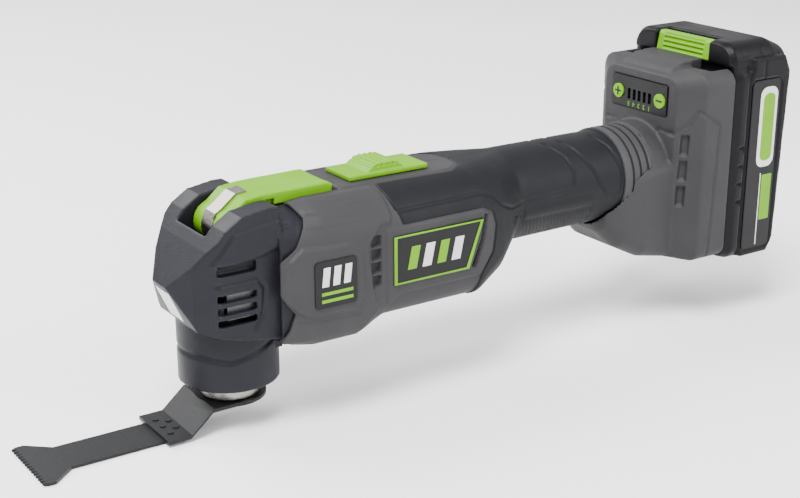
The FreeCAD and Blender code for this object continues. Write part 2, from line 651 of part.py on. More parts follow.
def build():
    housing_left, housing_right = housing_pair()
    grip_left, grip_right = grip_pair()
    foot_left, foot_right = foot_pair()
    bolt_z = BEARING_LOW_Z
    return {
        "flange_ring": flange_ring(), "blade_hub": blade_hub(), "saw_blade": saw_blade(),
        "output_spindle": output_spindle(), "rocker_fork": rocker_fork(),
        "clamp_bolt": clamp_bolt(), "clamp_spring": clamp_spring(),
        "release_lever": release_lever(), "lever_strap": lever_strap(),
        "lever_pin": rod(PIN_LEVER_R, 34, V(LEVER_X, -17, LEVER_Z), Y),
        "head_cover": head_cover(), "gear_case": gear_case(),
        "led_lens": prism_y(lens_outline(), 6), "led_board": led_board(),
        "dust_seal": tube(16, SPINDLE_R + GAP, 3.8, V(0, 0, 5.3)),
        "spindle_bearing_lower": bearing(BEARING_R, SPINDLE_R, BEARING_W, V(0, 0, bolt_z), Z),
        "spindle_bearing_upper": bearing(BEARING_R, SPINDLE_R, BEARING_W, V(0, 0, BEARING_HIGH_Z), Z),
        "damper_mounts": damper_mounts(),
        "rotor_core": rotor_core(), "stator_core": stator_core(), "stator_windings": stator_windings(),
        "motor_shaft": rod(SHAFT_R, SHAFT_BACK - SHAFT_FRONT, along_motor(SHAFT_FRONT), X),
        "motor_bearing_front": bearing(8, SHAFT_R, 5, along_motor(25.5), X),
        "motor_bearing_rear": bearing(7, SHAFT_R, 5, along_motor(79), X),
        "cooling_fan": cooling_fan(),
        "eccentric_collar": rod(3.9, 8, eccentric_place(14.5), X).cut(rod(SHAFT_R, 20, along_motor(10), X)),
        "eccentric_bearing": tube(5, 3.9, 6, eccentric_place(15.5), X),
        "housing_left": housing_left, "housing_right": housing_right,
        "grip_left": grip_left, "grip_right": grip_right, "neck_ring": neck_ring(),
        "badge_plate": badge_plate(), "side_label": side_label(), "housing_screws": housing_screws(),
        "switch_slider": switch_slider(), "switch_link": switch_link(),
        "switch_module": sym(92.5, 106, 9, 62, 75),
        "controller_board": sym(96, 122, 15, 44, 45.6),
        "heatsink": union([sym(98, 118, 12, 45.6, 48)]
                          + [sym(x, x + 1.2, 12, 47, 57) for x in (98, 102, 106, 110, 114)]),
        "foot_left": foot_left, "foot_right": foot_right, "battery_receptacle": battery_receptacle(),
        "speed_panel": speed_panel(), "plus_button": speed_button(1), "minus_button": speed_button(-1),
        "speed_board": speed_board(), "terminal_block": terminal_block(),
        "terminal_blades": terminal_blades(),
        "battery_case_front": pack_front(), "battery_case_rear": pack_rear(),
        "battery_cells": battery_cells(), "cell_holder": cell_holder(), "cell_straps": cell_straps(),
        "battery_board": sym(268.2, 269.6, 22, 34, 98),
        "battery_contacts": Part.makeCompound([block(RAIL_X0 + 0.6, RAIL_X1 + 0.9, y - 0.5, y + 0.5, 62.5, 77)
                                               for y in SLOT_YS]),
        "battery_labels": battery_labels(), "battery_screws": battery_screws(),
        "battery_latch": battery_latch(), "latch_springs": latch_springs(),
    }


def main():
    os.makedirs("parts", exist_ok=True)
    for name, shape in build().items():
        if not shape.isValid() or not shape.Solids:
            print("BAD", name)
        box = shape.BoundBox
        print(f"{name:24s} {len(shape.Solids):3d} {shape.Volume:9.0f}  x {box.XMin:.1f}..{box.XMax:.1f}"
              f"  y {box.YMin:.1f}..{box.YMax:.1f}  z {box.ZMin:.1f}..{box.ZMax:.1f}")
        shape.exportStep("parts/" + name + ".step")


main()
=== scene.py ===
import math

import bpy
import numpy as np
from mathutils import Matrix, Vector


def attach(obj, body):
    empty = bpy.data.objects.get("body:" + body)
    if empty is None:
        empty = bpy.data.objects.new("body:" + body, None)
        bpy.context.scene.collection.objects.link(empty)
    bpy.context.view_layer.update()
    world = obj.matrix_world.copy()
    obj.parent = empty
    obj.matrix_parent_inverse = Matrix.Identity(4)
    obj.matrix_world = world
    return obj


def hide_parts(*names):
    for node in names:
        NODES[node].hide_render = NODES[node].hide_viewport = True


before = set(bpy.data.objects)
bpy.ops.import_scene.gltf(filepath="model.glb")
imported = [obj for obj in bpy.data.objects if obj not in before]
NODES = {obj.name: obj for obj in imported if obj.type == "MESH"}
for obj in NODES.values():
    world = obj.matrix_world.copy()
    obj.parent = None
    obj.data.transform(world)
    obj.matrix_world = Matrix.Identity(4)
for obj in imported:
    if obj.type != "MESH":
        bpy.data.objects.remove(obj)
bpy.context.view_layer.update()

MM = 0.001

# Colours, linear RGB
HEAD_COLOUR = (0.0110, 0.0112, 0.0150)
GREY_COLOUR = (0.0335, 0.0325, 0.0345)
RUBBER_COLOUR = (0.0080, 0.0082, 0.0100)
GREEN_COLOUR = (0.118, 0.310, 0.0003)
PACK_COLOUR = (0.0034, 0.0034, 0.0044)
BLADE_COLOUR = (0.0055, 0.0058, 0.0068)


# ---- materials -------------------------------------------------------------------------------

class Shader:
    """A Principled material with helpers for the few node patterns that all surfaces share."""

    def __init__(self, name, metallic=0.0, specular=0.5, coat=0.0):
        self.material = bpy.data.materials.new(name)
        self.material.use_nodes = True
        self.nodes = self.material.node_tree.nodes
        self.links = self.material.node_tree.links
        self.bsdf = self.nodes["Principled BSDF"]
        self.bsdf.inputs["Metallic"].default_value = metallic
        self.bsdf.inputs["Specular IOR Level"].default_value = specular
        self.bsdf.inputs["Coat Weight"].default_value = coat
        self.place = self.nodes.new("ShaderNodeTexCoord").outputs["Object"]

    def noise(self, scale, detail=3.0, stretch=None):
        source = self.place
        if stretch:
            mapping = self.nodes.new("ShaderNodeMapping")
            mapping.inputs["Scale"].default_value = stretch
            self.links.new(self.place, mapping.inputs["Vector"])
            source = mapping.outputs["Vector"]
        noise = self.nodes.new("ShaderNodeTexNoise")
        noise.inputs["Scale"].default_value = scale
        noise.inputs["Detail"].default_value = detail
        self.links.new(source, noise.inputs["Vector"])
        return noise.outputs["Fac"]

    def ramp(self, value, low, high, start=0.3, stop=0.7):
        ramp = self.nodes.new("ShaderNodeValToRGB")
        ramp.color_ramp.elements[0].position = start
        ramp.color_ramp.elements[1].position = stop
        ramp.color_ramp.elements[0].color = tuple(low) + (1.0,) if len(low) == 3 else low
        ramp.color_ramp.elements[1].color = tuple(high) + (1.0,) if len(high) == 3 else high
        self.links.new(value, ramp.inputs["Fac"])
        return ramp.outputs["Color"]

    def mix(self, factor, a, b):
        mix = self.nodes.new("ShaderNodeMix")
        mix.data_type = "RGBA"
        self.links.new(factor, mix.inputs["Factor"])
        self.links.new(a, mix.inputs["A"])
        self.links.new(b, mix.inputs["B"])
        return mix.outputs["Result"]

    def bump(self, height, strength, distance, before=None):
        bump = self.nodes.new("ShaderNodeBump")
        bump.inputs["Strength"].default_value = strength
        bump.inputs["Distance"].default_value = distance
        self.links.new(height, bump.inputs["Height"])
        if before is not None:
            self.links.new(before, bump.inputs["Normal"])
        return bump.outputs["Normal"]

    def edges(self, low=0.52, high=0.60):
        """White along convex edges, where handling wears a moulding shiny and pale."""
        geometry = self.nodes.new("ShaderNodeNewGeometry")
        return self.ramp(geometry.outputs["Pointiness"], (0, 0, 0), (1, 1, 1), low, high)

    def set(self, socket, value):
        self.links.new(value, self.bsdf.inputs[socket])


def shade(colour, factor):
    return tuple(min(1.0, c * factor) for c in colour)


def grey_ramp(shader, value, low, high):
    return shader.ramp(value, (low,) * 3, (high,) * 3)


def moulded(name, colour, rough=0.5, grain=900.0, depth=0.35, wear=1.35, specular=0.14):
    """Injection-moulded plastic or rubber: spark-eroded grain, soft mottling, rubbed edges."""
    shader = Shader(name, specular=specular)
    mottled = shader.ramp(shader.noise(24.0, 5.0), shade(colour, 0.88), shade(colour, 1.12))
    worn = shader.ramp(shader.noise(90.0, 4.0), shade(colour, wear), shade(colour, wear * 1.08))
    shader.set("Base Color", shader.mix(shader.edges(), mottled, worn))
    shader.set("Roughness", grey_ramp(shader, shader.noise(60.0, 4.0), rough - 0.07, rough + 0.08))
    fine = shader.bump(shader.noise(grain, 2.0), depth, 0.00012)
    shader.set("Normal", shader.bump(shader.noise(35.0, 2.0), 0.08, 0.0008, fine))
    return shader.material


def brushed(name, colour, rough=0.32, stretch=(1, 1, 40), wear=1.2, metallic=1.0):
    """Turned or ground steel with a directional grain."""
    shader = Shader(name, metallic=metallic, specular=0.25)
    lines = shader.noise(160.0, 5.0, stretch)
    streaks = shader.ramp(lines, shade(colour, 0.8), shade(colour, wear))
    stained = shader.ramp(shader.noise(45.0, 4.0), shade(colour, 0.85), shade(colour, 1.1))
    shader.set("Base Color", shader.mix(shader.noise(20.0), streaks, stained))
    shader.set("Roughness", grey_ramp(shader, lines, rough - 0.08, rough + 0.12))
    shader.set("Normal", shader.bump(lines, 0.18, 0.00008))
    return shader.material


def printed(name, colour, rough=0.3):
    """Printed film: nearly even, with a faint orange-peel skin."""
    shader = Shader(name, specular=0.18, coat=0.02)
    shader.set("Base Color", shader.ramp(shader.noise(70.0), shade(colour, 0.92), shade(colour, 1.08)))
    shader.set("Roughness", grey_ramp(shader, shader.noise(120.0), rough - 0.05, rough + 0.08))
    shader.set("Normal", shader.bump(shader.noise(500.0, 2.0), 0.10, 0.00005))
    return shader.material


def clear_lens():
    shader = Shader("lens_clear", specular=0.6)
    shader.set("Base Color", shader.ramp(shader.noise(300.0), (0.80, 0.85, 0.88), (0.95, 0.97, 1.0)))
    shader.set("Roughness", grey_ramp(shader, shader.noise(200.0), 0.08, 0.2))
    shader.bsdf.inputs["Transmission Weight"].default_value = 0.35
    shader.set("Normal", shader.bump(shader.noise(700.0), 0.15, 0.0001))
    return shader.material


def make_materials():
    return {
        "head": moulded("head_moulding", HEAD_COLOUR, 0.42, 1300.0, 0.75, 1.7),
        "grey": moulded("grey_moulding", GREY_COLOUR, 0.52, 1500.0, 0.50, 1.3),
        "rubber": moulded("grip_rubber", RUBBER_COLOUR, 0.50, 1900.0, 0.40, 1.7, 0.14),
        "seal": moulded("seal_rubber", (0.008, 0.0075, 0.0075), 0.7, 900.0, 0.3, 1.3, 0.2),
        "green": moulded("green_moulding", GREEN_COLOUR, 0.38, 1500.0, 0.22, 1.06),
        "pack": moulded("pack_moulding", PACK_COLOUR, 0.40, 1000.0, 0.8, 2.6),
        "dark": moulded("dark_moulding", (0.004, 0.004, 0.005), 0.5, 1100.0, 0.35, 1.8),
        "board": printed("circuit_board", (0.02, 0.11, 0.05), 0.45),
        "film": printed("label_film", (0.006, 0.006, 0.007), 0.34),
        "white": printed("white_ink", (0.62, 0.63, 0.62), 0.35),
        "lime": printed("green_ink", GREEN_COLOUR, 0.35),
        "blade": brushed("black_oxide_steel", BLADE_COLOUR, 0.40, (40, 1, 1), 1.8, 0.12),
        "ring": brushed("turned_steel", (0.30, 0.28, 0.265), 0.30, (2, 2, 30), 1.25),
        "steel": brushed("plain_steel", (0.36, 0.36, 0.36), 0.35, (1, 30, 1)),
        "bolt": brushed("dark_steel", (0.16, 0.16, 0.17), 0.4, (8, 8, 1)),
        "cast": brushed("cast_aluminium", (0.13, 0.13, 0.14), 0.55, (3, 3, 3), 1.1),
        "copper": brushed("copper_wire", (0.55, 0.24, 0.10), 0.35, (30, 1, 1)),
        "cell": printed("cell_sleeve", (0.04, 0.14, 0.30), 0.35),
        "lens": clear_lens(),
    }


# ---- mesh tools ------------------------------------------------------------------------------

def new_object(name, points, faces):
    mesh = bpy.data.meshes.new(name)
    mesh.from_pydata([tuple(p) for p in points], [], [tuple(f) for f in faces])
    mesh.update()
    obj = bpy.data.objects.new(name, mesh)
    bpy.context.scene.collection.objects.link(obj)
    return obj


def prism(name, axis, outline, low, high):
    """A closed prism in millimetres. axis is the one it is extruded along, 'x', 'y' or 'z'."""
    area = 0.0
    for (a0, b0), (a1, b1) in zip(outline, outline[1:] + outline[:1]):
        area += a0 * b1 - a1 * b0
    if (area < 0) != (axis == "y"):
        outline = outline[::-1]
    points = []
    for level in (low, high):
        for a, b in outline:
            place = {"x": (level, a, b), "y": (a, level, b), "z": (a, b, level)}[axis]
            points.append([c * MM for c in place])
    n = len(outline)
    faces = [tuple(range(n))[::-1], tuple(range(n, 2 * n))]
    faces += [(i, (i + 1) % n, n + (i + 1) % n, n + i) for i in range(n)]
    return new_object(name, points, faces)


def slab(name, x, y, z):
    outline = [(x[0], z[0]), (x[1], z[0]), (x[1], z[1]), (x[0], z[1])]
    return prism(name, "y", outline, y[0], y[1])


def evaluated(obj, name):
    """obj with its modifiers applied, as a new object under that name."""
    graph = bpy.context.evaluated_depsgraph_get()
    mesh = bpy.data.meshes.new_from_object(obj.evaluated_get(graph))
    mesh.name = name
    result = bpy.data.objects.new(name, mesh)
    bpy.context.scene.collection.objects.link(result)
    bpy.data.objects.remove(obj)
    return result


def join(objects, name):
    points, faces, start = [], [], 0
    for obj in objects:
        points += [v.co.copy() for v in obj.data.vertices]
        faces += [[start + i for i in p.vertices] for p in obj.data.polygons]
        start += len(obj.data.vertices)
        bpy.data.objects.remove(obj)
    return new_object(name, points, faces)


def cad_copy(nodes, name):
    copies = []
    for node in nodes:
        copy = bpy.data.objects.new("copy_" + node, NODES[node].data.copy())
        bpy.context.scene.collection.objects.link(copy)
        copies.append(copy)
    return join(copies, name)


def moulding(name, nodes=(), add=(), cut=(), voxel=0.5, rounds=3):
    """One rounded moulding: CAD shapes and added blocks run together, with pockets cut out."""
    parts = ([cad_copy(nodes, name + "_cad")] if nodes else []) + list(add)
    body = join(parts, name + "_body")
    if cut:
        fuse = body.modifiers.new("fuse", "REMESH")
        fuse.mode = "VOXEL"
        fuse.voxel_size = voxel * MM
        cutter = join(list(cut), name + "_cutter")
        tool = body.modifiers.new("cut", "BOOLEAN")
        tool.operation = "DIFFERENCE"
        tool.solver = "EXACT"
        tool.object = cutter
    remesh = body.modifiers.new("remesh", "REMESH")
    remesh.mode = "VOXEL"
    remesh.voxel_size = voxel * MM
    smooth = body.modifiers.new("smooth", "SMOOTH")
    smooth.factor = 0.5
    smooth.iterations = rounds
    result = evaluated(body, name)
    if cut:
        bpy.data.objects.remove(cutter)
    return result


def coordinates(obj):
    data = np.empty(len(obj.data.vertices) * 3)
    obj.data.vertices.foreach_get("co", data)
    normals = np.empty(len(obj.data.vertices) * 3)
    obj.data.vertex_normals.foreach_get("vector", normals)
    return data.reshape(-1, 3) / MM, normals.reshape(-1, 3)


def sculpt(obj, height):
    """Moves each point along its normal by height(x, y, z, normal), in millimetres."""
    points, normals = coordinates(obj)
    lift = height(points[:, 0], points[:, 1], points[:, 2], normals)
    points = (points + normals * lift[:, None]) * MM
    obj.data.vertices.foreach_set("co", points.ravel())
    obj.data.update()


def show(obj, material, body, replaces=()):
    obj.data.materials.clear()
    obj.data.materials.append(material)
    for polygon in obj.data.polygons:
        polygon.use_smooth = True
    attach(obj, body)
    if replaces:
        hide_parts(*replaces)
    return obj


# ---- outlines on a surface -------------------------------------------------------------------

def segment_distance(u, v, a, b):
    ax, ay, bx, by = *a, *b
    length = (bx - ax) ** 2 + (by - ay) ** 2
    t = np.clip(((u - ax) * (bx - ax) + (v - ay) * (by - ay)) / length, 0, 1)
    return np.hypot(u - ax - t * (bx - ax), v - ay - t * (by - ay))


def line_distance(u, v, points):
    return np.minimum.reduce([segment_distance(u, v, a, b) for a, b in zip(points, points[1:])])


def outline_distance(u, v, points):
    """Signed distance to a closed outline, negative inside."""
    closed = points + points[:1]
    inside = np.zeros(u.shape, bool)
    for (ax, ay), (bx, by) in zip(closed, closed[1:]):
        crosses = ((ay > v) != (by > v))
        edge = ax + (v - ay) * (bx - ax) / ((by - ay) or 1e-9)
        inside ^= crosses & (u < edge)
    distance = line_distance(u, v, closed)
    return np.where(inside, -distance, distance)


def smooth_step(value, low, high):
    t = np.clip((value - low) / (high - low), 0, 1)
    return t * t * (3 - 2 * t)


def raised(u, v, points, height, edge=0.5):
    return height * smooth_step(-outline_distance(u, v, points), -edge, edge)


def groove(u, v, points, depth=0.6, width=0.55):
    return -depth * np.exp(-(line_distance(u, v, points) / width) ** 2)


# ---- housing ---------------------------------------------------------------------------------

# x, half width, bottom, top, lower corner radius, upper corner radius
STATIONS = [(9.0, 27.5, 24.0, 79.0, 8, 17), (18, 29.5, 22.0, 80.0, 8, 18), (44, 29.5, 22.0, 80.0, 8, 18),
            (57, 29.5, 27.5, 80.0, 8, 18), (104, 29.0, 27.5, 79.6, 8, 18), (118, 26.0, 32.5, 79.5, 12, 19),
            (131, 20.2, 39.6, 79.8, 19.6, 19.6), (191, 20.0, 39.8, 79.8, 19.8, 19.8)]
# The front edge of the housing: height and how far back it starts, blended out along the shell
RIM_START, RIM_BLEND_END = 9.0, 57
RIM = [(22, 17), (25.5, 15.5), (27.3, 10), (31.6, 13), (38.2, 15.5), (43, 11.5), (46.7, 9.2), (59.9, 9.4),
       (64.1, 16.2), (71.5, 21.3), (74, 22.5), (77.8, 20.3), (80, 19)]
FRONT_PANEL = [(5, 24), (43, 24), (53, 33), (51, 38), (48.3, 54.2), (48.5, 61.4), (54, 67.5), (58, 67.5),
               (59.7, 69.4), (59, 76.3), (56, 84), (5, 84)]
LABEL_PAD = [(18.8, 64), (38.1, 63.3), (44.4, 58), (44.6, 38.5), (41.5, 35.7), (19.3, 36.3),
             (10, 45), (10.6, 58)]
BADGE_PANEL = [(56.5, 65.2), (104.5, 65.2), (109.5, 62.8), (111.8, 57), (110.4, 46), (103, 37.4),
               (64, 37.4), (57, 34)]
AIR_SLOT = [(105.2, 63.2), (106.9, 62.8), (105, 52), (100.6, 41.2), (98.9, 41.6), (103.3, 52.4)]
RUBBER = [(60.3, 78.2), (62.2, 71.5), (63.6, 69.4), (64.6, 65.9), (105, 65.9), (110.3, 63.2), (112.6, 57),
          (111.1, 45.6), (103.5, 36.4), (99, 24), (200, 10), (200, 95), (60.3, 95)]
# The ridges on the shoulder: height, start and end along the tool
RIDGES = [(75.6, 24, 57), (71.2, 22, 53)]
WINDOW_COUNT, WINDOW_X0, WINDOW_X1, WINDOW_Z0 = 4, 49.8, 54, 42.5
WINDOW_HIGH, WINDOW_PITCH, WINDOW_DEPTH = 4.2, 5.6, 2.6
LEVER_BED = [(0, -12.4), (44.6, -12.4), (44.6, 12.4), (0, 12.4)]
LEVER_BED_DEPTH = 3.6
RUBBER_PROUD, RUBBER_SUNK = 0.55, 1.2    # above the housing inside its outline, below it outside
UNDER_RUBBER = 1.3                       # how far the housing sinks under the rubber
SHELL_STEP = 0.5
DECK = [(44, -11.2), (47, -13.6), (98, -13.6), (104.5, -9), (106.5, 0), (104.5, 9), (98, 13.6), (47, 13.6),
        (44, 11.2)]
RIB_HEIGHT, RIB_SLANT, RIB_PITCH = 0.35, 0.55, 1.95
RIB_PAD = [(125.8, 56.6), (128.4, 46.5), (134, 42), (173.6, 42), (172.8, 53), (134, 53), (132.6, 56.8)]
PLATE = [(130.4, 57.8), (133.8, 53.6), (172.6, 53.6), (170.6, 58)]
GRIP_LINES = [[(148, 82), (156, 79.4), (160.4, 75), (162, 68.5), (160.5, 64), (156, 62.2), (124, 61),
               (117, 64.2),
               (110.5, 69.6), (104, 71.4), (62.3, 71)],
              [(160, 82), (167, 77.5), (171, 71.5), (176, 62), (180, 56.8), (187.6, 56.8), (188.8, 66),
               (186, 76),
               (180, 82)]]


def station_values(x):
    table = np.array(STATIONS, float)
    dense = np.arange(table[0, 0] - 8, table[-1, 0] + 8, 0.25)
    kernel = np.hanning(21)
    kernel /= kernel.sum()
    columns = []
    for column in range(1, 6):
        values = np.convolve(np.interp(dense, table[:, 0], table[:, column]), kernel, "same")
        columns.append(np.interp(x, dense, values))
    return columns


def half_section(x, side):
    """Points from the bottom centre line round one side to the top centre line, for every x."""
    half, low, high, r_low, r_high = station_values(x)
    parts_y, parts_z = [], []

    def straight(y0, z0, y1, z1, count):
        t = np.linspace(0, 1, count, endpoint=False)[None, :]
        parts_y.append(y0[:, None] * (1 - t) + y1[:, None] * t)
        parts_z.append(z0[:, None] * (1 - t) + z1[:, None] * t)

    def corner(y, z, r, start, count, last=False):
        a = np.radians(start + np.linspace(0, 90, count, endpoint=last))[None, :]
        parts_y.append(y[:, None] + r[:, None] * np.cos(a))
        parts_z.append(z[:, None] + r[:, None] * np.sin(a))

    nothing = np.zeros_like(half)
    straight(nothing, low, half - r_low, low, 26)
    corner(half - r_low, low + r_low, r_low, -90, 26)
    straight(half, low + r_low, half, high - r_high, 52)
    corner(half - r_high, high - r_high, r_high, 0, 46)
    straight(half - r_high, high, nothing, high, 18)
    y = np.concatenate(parts_y + [nothing[:, None]], axis=1)
    z = np.concatenate(parts_z + [high[:, None]], axis=1)
    return side * y, z


def housing_relief(x, y, z, n_y):
    """Height of the moulded detail on the sides and top of the housing."""
    side = smooth_step(np.abs(n_y), 0.12, 0.35)
    h = raised(x, z, FRONT_PANEL, 1.1, 0.7) + raised(x, z, LABEL_PAD, 0.9, 0.6)
    h += raised(x, z, BADGE_PANEL, 0.7, 0.5)
    h -= raised(x, z, AIR_SLOT, 3.0, 0.35)
    for level, start, stop in RIDGES:
        h += groove(x, z, [(start, level), (stop, level + 0.4)], -0.35, 0.8)
    for i in range(WINDOW_COUNT):
        low = WINDOW_Z0 + WINDOW_PITCH * i
        high = low + WINDOW_HIGH
        window = [(WINDOW_X0, low), (WINDOW_X1, low), (WINDOW_X1, high), (WINDOW_X0, high)]
        h -= raised(x, z, window, WINDOW_DEPTH, 0.35)
    h += groove(x, z, [(43, 33.5), (16, 34)], 0.4, 0.7)
    top = smooth_step(z, 74, 77)
    h = h * side
    h += top * raised(x, y, DECK, 0.7, 0.8)
    h -= UNDER_RUBBER * smooth_step(-rubber_distance(x, y, z), 0.4, 1.6)
    h -= smooth_step(z, 60, 66) * raised(x, y, LEVER_BED, LEVER_BED_DEPTH, 0.4)
    return h


def rubber_relief(x, y, z, n_y):
    side = smooth_step(np.abs(n_y), 0.05, 0.3)
    h = sum(groove(x, z, line, 0.75, 0.5) for line in GRIP_LINES)
    ribs = RIB_HEIGHT * np.sin(2 * np.pi * (x + RIB_SLANT * z) / RIB_PITCH) - RIB_HEIGHT
    h += ribs * smooth_step(-outline_distance(x, z, RIB_PAD), -0.2, 0.4)
    h += groove(x, z, RIB_PAD + RIB_PAD[:1], 0.5, 0.4)
    h += raised(x, z, PLATE, 0.55, 0.3)
    return h * side


def grid_shell(name, side, first, last, step, keep, relief, thickness):
    """One half of a moulded skin over the housing line, closed with an inner face."""
    x = np.arange(first, last + step / 2, step)
    y, z = half_section(x, side)
    xs = np.repeat(x[:, None], y.shape[1], axis=1)
    if first == RIM_START:
        rim = np.interp(z, [r[0] for r in RIM], [r[1] for r in RIM])
        moved = rim + (xs - first) * (RIM_BLEND_END - rim) / (RIM_BLEND_END - first)
        xs = np.where(xs < RIM_BLEND_END, moved, xs)
    points = np.stack([xs, y, z], -1)
    along = np.gradient(points, axis=0)
    around = np.gradient(points, axis=1)
    normals = np.cross(along, around) * -side
    normals /= np.linalg.norm(normals, axis=-1)[..., None] + 1e-12
    outer = points + normals * relief(xs, y, z, normals[..., 1])[..., None]
    inner = outer - normals * thickness
    rows, columns = x.size, y.shape[1]
    inside = keep(xs, y, z)
    index = np.arange(rows * columns).reshape(rows, columns)
    quads = np.stack([index[:-1, :-1], index[1:, :-1], index[1:, 1:], index[:-1, 1:]], -1).reshape(-1, 4)
    kept = inside.ravel()[quads].any(axis=1)
    quads = quads[kept]
    if side < 0:
        quads = quads[:, ::-1]
    return closed_skin(name, outer.reshape(-1, 3), inner.reshape(-1, 3), quads)


def closed_skin(name, outer, inner, quads):
    """Joins an outer face, an inner face and the walls along every open edge."""
    used = np.unique(quads)
    number = np.full(len(outer), -1)
    number[used] = np.arange(used.size)
    quads = number[quads]
    edges = np.concatenate([quads[:, [i, (i + 1) % 4]] for i in range(4)])
    keys = edges[:, 0].astype(np.int64) * used.size + edges[:, 1]
    reverse = edges[:, 1].astype(np.int64) * used.size + edges[:, 0]
    rim = edges[~np.isin(keys, reverse)]
    walls = np.stack([rim[:, 1], rim[:, 0], rim[:, 0] + used.size, rim[:, 1] + used.size], -1)
    points = np.concatenate([outer[used], inner[used]]) * MM
    faces = np.concatenate([quads, quads[:, ::-1] + used.size, walls])
    return new_object(name, points, faces)


def everywhere(x, y, z):
    return np.ones(x.shape, bool)


def rubber_distance(x, y, z):
    """Distance into the overmoulded region, negative inside it."""
    side = outline_distance(x, z, RUBBER)
    deck = -outline_distance(x, y, DECK) + 1.0
    return np.maximum(side, np.where(z > 70, deck, -99))


def rubber_height(x, y, z, n_y):
    inside = smooth_step(-rubber_distance(x, y, z), -0.7, 0.5)
    return (RUBBER_PROUD + rubber_relief(x, y, z, n_y)) * inside - RUBBER_SUNK * (1 - inside)


def near_rubber(x, y, z):
    return rubber_distance(x, y, z) < 1.2


SKIRT_INSET, SKIRT_THICK = 1.9, 4.1


def beside_lever(x, y, z):
    """Leaves the channel for the lever open."""
    return (np.abs(y) > 13.2) | (z < 60)


def skirt_height(x, y, z, n_y):
    return np.full(x.shape, -SKIRT_INSET)


def make_housing(mats):
    for side, word in ((-1, "left"), (1, "right")):
        skirt = grid_shell("head_skirt_" + word, side, 10.4, 24.0, 0.6, beside_lever,
                           skirt_height, SKIRT_THICK)
        show(skirt, mats["head"], "housing")
        shell = grid_shell("housing_shell_" + word, side, RIM_START, 131.4, SHELL_STEP, everywhere,
                           housing_relief, 1.6)
        show(shell, mats["grey"], "housing", ("housing_" + word,))
        rubber = grid_shell("grip_overmould_" + word, side, 58.0, 190.5, SHELL_STEP, near_rubber,
                            rubber_height, 2.0)
        show(rubber, mats["rubber"], "housing", ("grip_" + word,))


# ---- head ------------------------------------------------------------------------------------

VENT_FRAME = [(-15, 54), (2, 54), (5, 50), (4, 40), (0.5, 33.8)]
CHEEK = [(-17, 61.5), (-14, 66), (-8, 73), (12, 76), (14, 66), (4, 63), (-15, 60.5)]
DRUM_LINE = [(-24, 22), (-8, 20), (2, 22.5), (16, 27)]


def head_relief(x, y, z, normal):
    side = smooth_step(np.abs(normal[:, 1]), 0.5, 0.8) * (np.abs(y) > 19)
    h = groove(x, z, VENT_FRAME, 0.7, 0.8) * side
    h += raised(x, z, CHEEK, 0.7, 0.9) * side
    drum = (z < 26.5) & (normal[:, 2] > -0.5)
    h += groove(x, z, DRUM_LINE, 0.9, 0.9) * drum
    return h


def make_head(mats):
    bridge = slab("drum_bridge", (11.5, 16.3), (-16, 16), (20.4, 28.5))
    head = moulding("head_moulding", ["head_cover"], [bridge], [], 0.5, 6)
    sculpt(head, head_relief)
    show(head, mats["head"], "housing", ("head_cover",))


# ---- lever and switch ------------------------------------------------------------------------

def lever_relief(x, y, z, normal):
    rear = smooth_step(x, 20, 34) * (normal[:, 2] > 0.7)
    return -0.5 * rear * smooth_step(-np.abs(y), -9, -5)


def make_lever(mats):
    notches = [slab("notch", (12.5, 16.5), sorted((side * 12.5, side * 9.6)), (75, 80.4))
               for side in (-1, 1)]
    lever = moulding("lever_moulding", ["release_lever"], [], notches, 0.34, 5)
    sculpt(lever, lever_relief)
    show(lever, mats["green"], "lever", ("release_lever",))
    strap = [(-6.5, 74.2), (-5.3, 76.2), (-2.8, 77.7), (3.6, 82.8), (8.5, 83.3), (8.5, 82.2), (4.0, 81.6),
             (-2.2, 76.4), (-5.2, 73.6)]
    plate_mark("strap_over_lever", strap, "y", -3.9, 3.9, mats["ring"], "lever", "bright_steel")


def slider_relief(x, y, z, normal):
    return np.where((x > 62) & (x < 78) & (z > 84.5), -0.25 + 0.25 * np.cos(2 * np.pi * x / 2.6), 0.0)


def make_switch(mats):
    slider = moulding("slider_moulding", ["switch_slider"], [], [], 0.3, 5)
    sculpt(slider, slider_relief)
    show(slider, mats["green"], "switch", ("switch_slider",))


# ---- foot ------------------------------------------------------------------------------------

FOOT_SEAM = [(180, 76), (187.3, 84.2), (194.7, 84.8), (204.1, 81.3), (209, 79), (214.5, 79),
             (219, 84.5), (222, 90.9),
             (233.2, 84.2), (230.4, 21)]
FOOT_FRONT_SEAM = [(-23, 79), (-14, 80.5), (-9, 76), (9, 76), (14, 80.5), (23, 79)]
FOOT_BOSS = [(217.5, 100), (219.5, 107.6), (226, 110.6), (238, 110.9), (238, 100)]
FOOT_SLOTS = [[(217.5, 79.5), (219.6, 79.5), (219.4, 70.5), (217.3, 70.5)],
              [(217.3, 67.5), (219.4, 67.5), (219.2, 58.7), (217.1, 58.7)],
              [(217.1, 55.7), (219.2, 55.7), (219, 46.5), (216.9, 46.5)]]


def foot_relief(x, y, z, normal):
    side = (np.abs(y) > 19.0) & (x > 213)
    h = groove(x, z, FOOT_SEAM[4:], 0.7, 0.6) * side
    for slot in FOOT_SLOTS:
        h = h - raised(x, z, slot, 2.0, 0.4) * side
    front = (normal[:, 0] < -0.7) & (x < 217)
    h = h + groove(y, z, FOOT_FRONT_SEAM, 0.5, 0.6) * front
    return h


def make_foot(mats):
    nodes = ["foot_left", "foot_right"]
    core = [slab("foot_core", (220.5, 230.6), (-29, 29), (24, 103)),
            prism("foot_boss", "y", FOOT_BOSS, -16, 16)]
    foot = moulding("foot_moulding", nodes, core, [], 0.64, 4)
    sculpt(foot, foot_relief)
    show(foot, mats["grey"], "housing", ("foot_left", "foot_right"))


